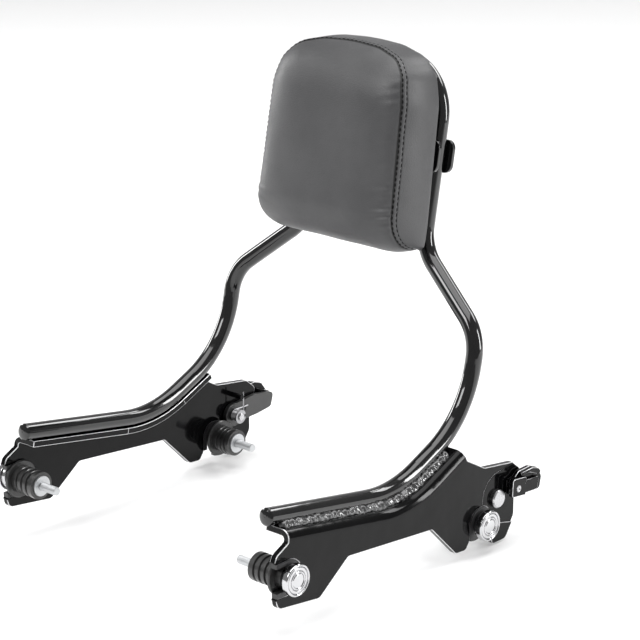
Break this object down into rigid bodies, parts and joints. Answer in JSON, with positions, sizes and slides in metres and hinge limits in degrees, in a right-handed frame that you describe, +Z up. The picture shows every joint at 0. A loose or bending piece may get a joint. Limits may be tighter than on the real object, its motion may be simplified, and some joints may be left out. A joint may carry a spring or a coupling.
{
  "type": "detachable motorcycle passenger backrest",
  "caption": "Padded passenger backrest on a bent steel tube, welded to side plates that drop over docking spools and lock with sprung hooks.",
  "frame": {"origin": "on the front left docking bolt, where it leaves its washer and enters the strut; the plane of symmetry is X = -0.1367 m", "axes": "+X to the bike's left along the front docking axis, +Y to the rear of the bike, +Z up as mounted"},
  "size_m": [0.372, 0.3576, 0.4517],
  "materials": {
    "black_tube": "gloss",
    "black_plate": "gloss",
    "weld": "gloss over a rippled bead",
    "black_plug": "gloss",
    "spool": "satin",
    "cap_chrome": "polished",
    "liner": "satin",
    "zinc": "zinc plated",
    "hook": "satin",
    "thumb": "gloss",
    "bright_steel": "polished",
    "spring_steel": "plain",
    "vinyl": "satin, fine grain",
    "board": "satin",
    "black_bar": "gloss",
    "black_bolt": "black oxide"
  },
  "bodies": {
    "dock": {"front_spool_left": "spool", "front_spool_right": "spool", "rear_spool_left": "spool", "rear_spool_right": "spool", "front_cap_left": "cap_chrome", "front_cap_right": "cap_chrome", "rear_cap_left": "cap_chrome", "rear_cap_right": "cap_chrome", "dock_bolts": "zinc", "dock_washers": "zinc", "hoop_tube": "black_tube", "side_plate_left": "black_plate", "side_plate_right": "black_plate", "weld_left": "weld", "weld_right": "weld", "tube_plugs": "black_plug", "front_liner_left": "liner", "front_liner_right": "liner", "rear_liner_left": "liner", "rear_liner_right": "liner", "pivot_pin_left": "bright_steel", "pivot_pin_right": "bright_steel", "pivot_clips": "spring_steel", "stop_studs": "black_plate", "return_spring_left": "spring_steel", "return_spring_right": "spring_steel", "pad_cushion": "vinyl", "back_board": "board", "bar_front": "black_bar", "bar_rear": "black_bar", "bar_spacers": "zinc", "clamp_bolts": "black_bolt", "clamp_nuts": "zinc", "board_screws": "black_bolt"},
    "latch_left": {"latch_hook_left": "hook", "latch_thumb_left": "thumb", "thumb_screw_left": "bright_steel"},
    "latch_right": {"latch_hook_right": "hook", "latch_thumb_right": "thumb", "thumb_screw_right": "bright_steel"}
  },
  "joints": [
    {"name": "latch_left_hinge", "type": "hinge", "parent": "dock", "child": "latch_left", "pos_m": [0.0373, 0.28, -0.0125], "axis": [1, 0, 0], "range_deg": [0, 28], "stiffness_Nm_per_rad": 0.4, "springref_deg": -14.32, "deforming": ["return_spring_left"]},
    {"name": "latch_right_hinge", "type": "hinge", "parent": "dock", "child": "latch_right", "pos_m": [-0.3107, 0.28, -0.0125], "axis": [1, 0, 0], "range_deg": [0, 28], "stiffness_Nm_per_rad": 0.4, "springref_deg": -14.32, "deforming": ["return_spring_right"]}
  ]
}
